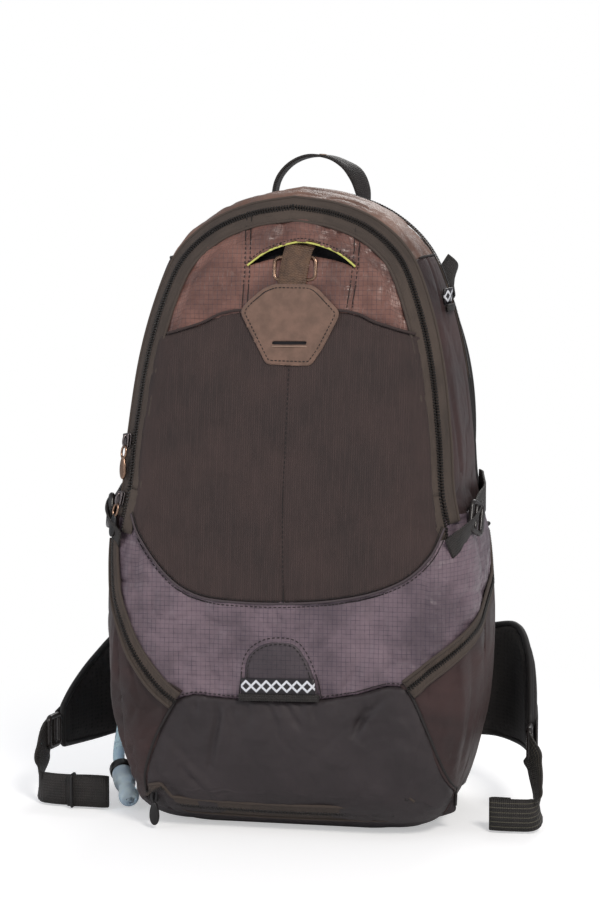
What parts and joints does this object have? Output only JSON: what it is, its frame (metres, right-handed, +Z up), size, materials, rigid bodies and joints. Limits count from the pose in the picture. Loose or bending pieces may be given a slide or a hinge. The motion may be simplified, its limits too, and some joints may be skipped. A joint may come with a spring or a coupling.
{
  "type": "ski backpack",
  "caption": "Ski daypack with fold-down front, mesh pocket, tool patch and ring, slanted side pockets, hip belt, shoulder straps and a drinking reservoir with hose.",
  "frame": {"origin": "centre of the flat underside of the bag, on the surface that it stands on", "axes": "+Z up, -Y to the front of the bag, +Y to the wearer's back, +X to the viewer's right seen from the front"},
  "size_m": [0.3965, 0.2052, 0.5111],
  "materials": {
    "ripstop_upper": "satin ripstop, brown",
    "ripstop_lower": "satin ripstop, purple grey",
    "mesh": "knitted mesh, charcoal",
    "plain_fabric": "plain woven fabric, charcoal",
    "side_fabric": "satin woven fabric, dark brown",
    "suede": "brushed suede-like reinforcement",
    "webbing": "ribbed nylon webbing, black",
    "pad_mesh": "spacer mesh over foam, black",
    "plastic": "moulded acetal, black",
    "zip": "coil zip on woven tape, black",
    "bronze": "bronzed steel ring",
    "reflective": "woven reflective tape",
    "hose": "translucent blue hose and valve",
    "bladder": "clear blue film",
    "stiff_sheet": "polyethylene sheet"
  },
  "bodies": {
    "root": {"back_pad_left": "pad_mesh", "back_pad_right": "pad_mesh", "back_panel": "plain_fabric", "base_panel": "plain_fabric", "bite_valve": "hose", "bottom_zip": "zip", "compression_webbing_left": "webbing", "compression_webbing_right": "webbing", "frame_sheet": "stiff_sheet", "hose": "hose", "hose_inside": "hose", "hose_port": "plastic", "load_lifter_left": "webbing", "load_lifter_right": "webbing", "lower_front_panel": "ripstop_lower", "lower_strap_left": "webbing", "lower_strap_right": "webbing", "lower_tab": "ripstop_lower", "lower_zip_left": "zip", "lower_zip_right": "zip", "lumbar_pad": "pad_mesh", "main_zip_bag_side": "zip", "rear_zip": "zip", "reservoir": "bladder", "reservoir_closure": "bladder", "reservoir_sleeve": "side_fabric", "side_loop_right": "reflective", "side_panel_left": "side_fabric", "side_panel_right": "side_fabric", "side_pocket_left": "side_fabric", "side_pocket_right": "side_fabric", "top_panel": "ripstop_upper"},
    "flap": {"front_flap": "ripstop_upper", "main_zip_flap_side": "zip", "mesh_pocket": "mesh", "tool_patch": "suede", "tool_webbing": "webbing"},
    "ring": {"tool_ring": "bronze"},
    "slider_a": {"main_slider_a": "plastic"},
    "pull_a": {"main_pull_a": "plastic"},
    "slider_b": {"main_slider_b": "plastic"},
    "pull_b": {"main_pull_b": "plastic"},
    "rear_zip_slider": {"rear_slider": "plastic"},
    "bottom_zip_slider": {"bottom_slider": "plastic"},
    "bottom_zip_pull": {"bottom_pull": "plastic"},
    "handle": {"grab_handle": "webbing"},
    "strap_left": {"shoulder_pad_left": "pad_mesh", "strap_lock_left": "plastic"},
    "strap_right": {"shoulder_pad_right": "pad_mesh", "strap_lock_right": "plastic"},
    "sternum_left": {"sternum_strap_left": "webbing"},
    "sternum_right": {"sternum_strap_right": "webbing"},
    "wing_left": {"hip_wing_left": "pad_mesh", "hip_lock_left": "plastic", "hip_webbing_left": "webbing"},
    "wing_right": {"hip_wing_right": "pad_mesh", "hip_lock_right": "plastic", "hip_webbing_right": "webbing"},
    "lock_left": {"compression_lock_left": "plastic"},
    "lock_right": {"compression_lock_right": "plastic"}
  },
  "joints": [
    {"name": "flap_hinge", "type": "hinge", "parent": "root", "child": "flap", "pos_m": [0, -0.0907, 0.2361], "axis": [1, 0, 0], "range_deg": [0, 70]},
    {"name": "ring_slide", "type": "slide", "parent": "flap", "child": "ring", "axis": [0, 0.199, 0.98], "range_m": [-0.003, 0.004]},
    {"name": "slider_a_travel", "type": "slide", "parent": "root", "child": "slider_a", "axis": [0.0751, 0.1365, 0.9878], "range_m": [0, 0.045]},
    {"name": "pull_a_swing", "type": "hinge", "parent": "slider_a", "child": "pull_a", "pos_m": [-0.12121, -0.07684, 0.28611], "axis": [-0.7115, 0.7014, -0.0428], "range_deg": [0, 90]},
    {"name": "slider_b_travel", "type": "slide", "parent": "root", "child": "slider_b", "axis": [0.1535, 0.1157, 0.9814], "range_m": [-0.005, 0.002]},
    {"name": "pull_b_swing", "type": "hinge", "parent": "slider_b", "child": "pull_b", "pos_m": [-0.12609, -0.08236, 0.24424], "axis": [-0.7118, 0.7018, 0.0286], "range_deg": [0, 90]},
    {"name": "rear_slider_travel", "type": "slide", "parent": "root", "child": "rear_zip_slider", "axis": [0.0499, 0, 0.9988], "range_m": [0, 0.04]},
    {"name": "bottom_slider_travel", "type": "slide", "parent": "root", "child": "bottom_zip_slider", "axis": [0.9371, -0.349, 0], "range_m": [0, 0.02]},
    {"name": "bottom_pull_swing", "type": "hinge", "parent": "bottom_zip_slider", "child": "bottom_zip_pull", "pos_m": [-0.09877, -0.08456, 0.0204], "axis": [-0.9371, 0.3489, 0], "range_deg": [0, 90]},
    {"name": "handle_fold", "type": "hinge", "parent": "root", "child": "handle", "pos_m": [0, 0.05, 0.468], "axis": [1, 0, 0], "range_deg": [-38, 38]},
    {"name": "strap_left_swing", "type": "hinge", "parent": "root", "child": "strap_left", "pos_m": [-0.05, 0.087, 0.4459], "axis": [1, 0, 0], "range_deg": [0, 28]},
    {"name": "strap_right_swing", "type": "hinge", "parent": "root", "child": "strap_right", "pos_m": [0.05, 0.087, 0.4459], "axis": [1, 0, 0], "range_deg": [0, 28]},
    {"name": "sternum_left_height", "type": "slide", "parent": "strap_left", "child": "sternum_left", "axis": [0, 0, 1], "range_m": [-0.03, 0.03]},
    {"name": "sternum_right_height", "type": "slide", "parent": "strap_right", "child": "sternum_right", "axis": [0, 0, 1], "range_m": [-0.03, 0.03]},
    {"name": "wing_left_swing", "type": "hinge", "parent": "root", "child": "wing_left", "pos_m": [-0.106, 0.0911, 0.086], "axis": [0, 0, -1], "range_deg": [0, 75]},
    {"name": "wing_right_swing", "type": "hinge", "parent": "root", "child": "wing_right", "pos_m": [0.106, 0.0911, 0.086], "axis": [0, 0, 1], "range_deg": [0, 75]},
    {"name": "lock_left_tilt", "type": "hinge", "parent": "root", "child": "lock_left", "pos_m": [-0.13304, -0.06649, 0.24098], "axis": [-0.123, 0.3399, 0.9324], "range_deg": [0, 30]},
    {"name": "lock_right_tilt", "type": "hinge", "parent": "root", "child": "lock_right", "pos_m": [0.13304, -0.06649, 0.24098], "axis": [-0.123, -0.3399, -0.9324], "range_deg": [0, 30]}
  ]
}
